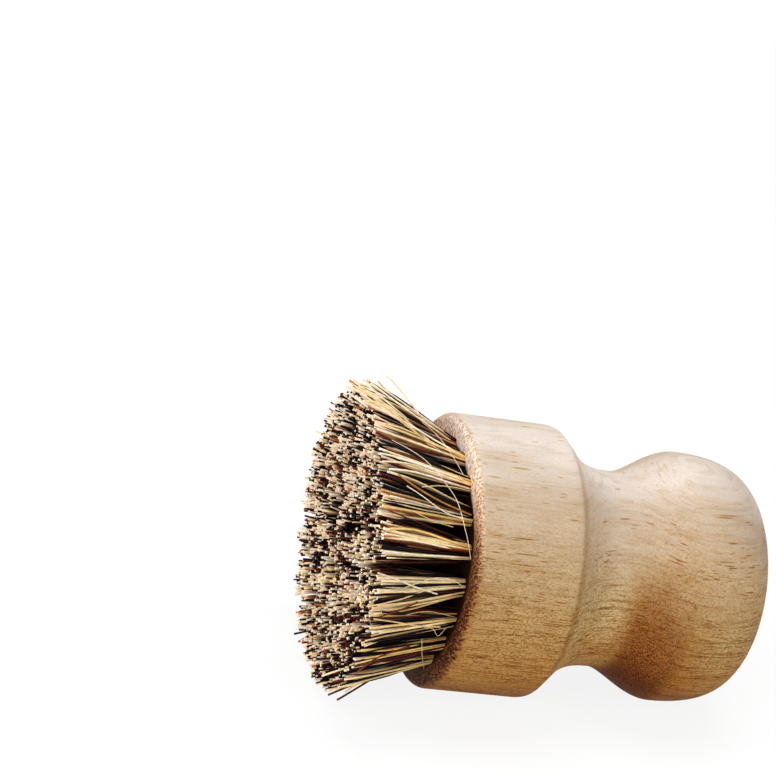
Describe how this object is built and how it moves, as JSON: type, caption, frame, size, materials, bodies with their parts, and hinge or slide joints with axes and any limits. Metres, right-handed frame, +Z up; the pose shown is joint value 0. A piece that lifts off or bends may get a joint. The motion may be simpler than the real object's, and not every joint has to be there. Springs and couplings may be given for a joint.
{
  "type": "dish brush",
  "caption": "Palm-held dish brush: turned wooden handle with a round knob and a drilled head, filled with leaning tufts of stiff mixed plant fibre, lying on its side.",
  "frame": {"origin": "on the surface that the brush lies on, under the middle of its bounds", "axes": "+Z up; +X from the bristle tips towards the knob, along the level surface; the brush's own axis slopes down towards the knob by 3.9 degrees, as it rests on the head's rear edge and the knob"},
  "size_m": [0.0806, 0.0534, 0.0539],
  "materials": {
    "handle_wood": "bare turned wood, sanded, matte",
    "tuft_fibre": "stiff plant fibre, straw and dark brown mixed, matte"
  },
  "bodies": {
    "root": {"handle": "handle_wood", "outer_tuft_01": "tuft_fibre", "outer_tuft_02": "tuft_fibre", "outer_tuft_03": "tuft_fibre", "outer_tuft_04": "tuft_fibre", "outer_tuft_05": "tuft_fibre", "outer_tuft_06": "tuft_fibre", "outer_tuft_07": "tuft_fibre", "outer_tuft_08": "tuft_fibre", "outer_tuft_09": "tuft_fibre", "outer_tuft_10": "tuft_fibre", "outer_tuft_11": "tuft_fibre", "outer_tuft_12": "tuft_fibre", "outer_tuft_13": "tuft_fibre", "outer_tuft_14": "tuft_fibre", "outer_tuft_15": "tuft_fibre", "outer_tuft_16": "tuft_fibre", "outer_tuft_17": "tuft_fibre", "outer_tuft_18": "tuft_fibre", "outer_tuft_19": "tuft_fibre", "outer_tuft_20": "tuft_fibre", "middle_tuft_01": "tuft_fibre", "middle_tuft_02": "tuft_fibre", "middle_tuft_03": "tuft_fibre", "middle_tuft_04": "tuft_fibre", "middle_tuft_05": "tuft_fibre", "middle_tuft_06": "tuft_fibre", "middle_tuft_07": "tuft_fibre", "middle_tuft_08": "tuft_fibre", "middle_tuft_09": "tuft_fibre", "middle_tuft_10": "tuft_fibre", "middle_tuft_11": "tuft_fibre", "middle_tuft_12": "tuft_fibre", "middle_tuft_13": "tuft_fibre", "middle_tuft_14": "tuft_fibre", "inner_tuft_01": "tuft_fibre", "inner_tuft_02": "tuft_fibre", "inner_tuft_03": "tuft_fibre", "inner_tuft_04": "tuft_fibre", "inner_tuft_05": "tuft_fibre", "inner_tuft_06": "tuft_fibre", "inner_tuft_07": "tuft_fibre", "inner_tuft_08": "tuft_fibre", "centre_tuft_01": "tuft_fibre", "centre_tuft_02": "tuft_fibre", "centre_tuft_03": "tuft_fibre"}
  },
  "joints": []
}
